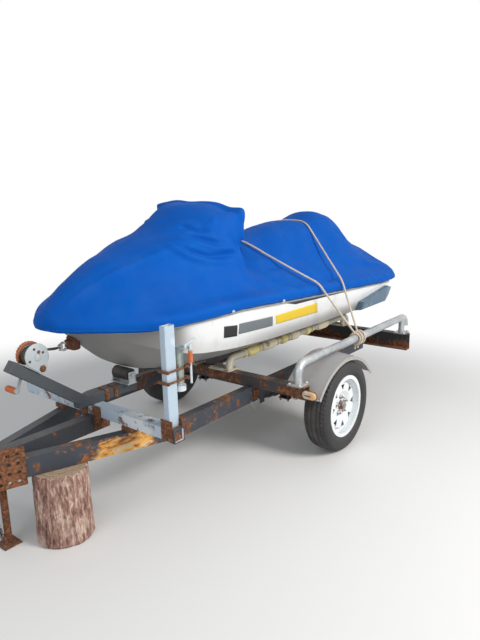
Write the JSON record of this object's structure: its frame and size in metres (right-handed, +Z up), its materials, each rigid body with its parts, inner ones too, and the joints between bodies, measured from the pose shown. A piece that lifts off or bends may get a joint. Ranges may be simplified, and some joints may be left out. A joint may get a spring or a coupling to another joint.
{
  "type": "covered personal watercraft on its single-axle trailer",
  "caption": "Personal watercraft under a fitted blue cover, lashed on a rusty single-axle trailer with bent guide tubes, side post jack and winch, its tongue on a log.",
  "frame": {"origin": "on the floor under the middle of the overall length and width", "axes": "+X forward to the bow and the coupler, +Y to port, +Z up"},
  "size_m": [3.45, 1.5918, 1.4577],
  "materials": {
    "bar_paint": "pale blue-grey paint with rust",
    "cover_fabric": "woven poly tarpaulin, slight sheen",
    "engine_metal": "painted",
    "eye_steel": "dull",
    "fender_steel": "primer grey",
    "frame_black": "faded black paint with rust",
    "frame_rust": "rusted through",
    "galvanised": "weathered zinc",
    "gelcoat_white": "aged gelcoat",
    "hub_steel": "dull",
    "jack_paint": "grey-green",
    "lamp_plastic": "faded amber",
    "log_wood": "bark and sawn ends",
    "pump_alloy": "cast",
    "rim_white": "gloss white",
    "roller_black": "worn",
    "roller_yellow": "sun-faded",
    "rope_fibre": "twisted rope",
    "sponson_grey": "weathered",
    "strap_web": "woven web",
    "tyre": "dusty"
  },
  "bodies": {
    "root": {"axle": "frame_black", "bar_saddles": "frame_rust", "bow_crossbar": "bar_paint", "bow_eye": "eye_steel", "bunk_rollers": "roller_yellow", "bunk_tube_left": "galvanised", "bunk_tube_right": "galvanised", "centre_beam": "frame_black", "coupler": "frame_rust", "coupler_bracket": "frame_rust", "cover": "cover_fabric", "engine": "engine_metal", "fender_left": "fender_steel", "fender_right": "fender_steel", "front_crossmember": "frame_rust", "guide_tube_left": "galvanised", "guide_tube_right": "galvanised", "hull": "gelcoat_white", "intake_grate": "pump_alloy", "jack_crank": "hub_steel", "jack_tube": "jack_paint", "jet_pump": "pump_alloy", "keel_roller": "roller_black", "keel_roller_fork": "galvanised", "leaf_springs": "frame_black", "log": "log_wood", "marker_lamps": "lamp_plastic", "post_clamps": "frame_rust", "prop_leg": "frame_rust", "rail_left": "frame_black", "rail_right": "frame_black", "rear_crossmember": "frame_black", "ride_plate": "pump_alloy", "side_post": "bar_paint", "sponson_left": "sponson_grey", "sponson_right": "sponson_grey", "tie_rope_front": "rope_fibre", "tie_rope_rear": "rope_fibre", "winch": "galvanised", "winch_stand": "frame_black", "winch_strap": "strap_web"},
    "wheel_left": {"tyre_left": "tyre", "rim_left": "rim_white", "hub_left": "hub_steel"},
    "wheel_right": {"tyre_right": "tyre", "rim_right": "rim_white", "hub_right": "hub_steel"},
    "impeller": {"impeller": "pump_alloy"},
    "nozzle": {"steering_nozzle": "pump_alloy"},
    "jack_leg": {"jack_leg": "jack_paint"}
  },
  "joints": [
    {"name": "wheel_left_spin", "type": "hinge", "parent": "root", "child": "wheel_left", "pos_m": [-0.405, 0.696, 0.27], "axis": [0, 1, 0], "continuous": true},
    {"name": "wheel_right_spin", "type": "hinge", "parent": "root", "child": "wheel_right", "pos_m": [-0.405, -0.696, 0.27], "axis": [0, 1, 0], "continuous": true},
    {"name": "impeller_spin", "type": "hinge", "parent": "root", "child": "impeller", "pos_m": [-1.355, 0, 0.62174], "axis": [1, 0, 0], "continuous": true},
    {"name": "nozzle_steer", "type": "hinge", "parent": "root", "child": "nozzle", "pos_m": [-1.57, 0, 0.62174], "axis": [0, 0, 1], "range_deg": [-20, 20]},
    {"name": "jack_slide", "type": "slide", "parent": "root", "child": "jack_leg", "axis": [0, 0, -1], "range_m": [0, 0.11]}
  ]
}
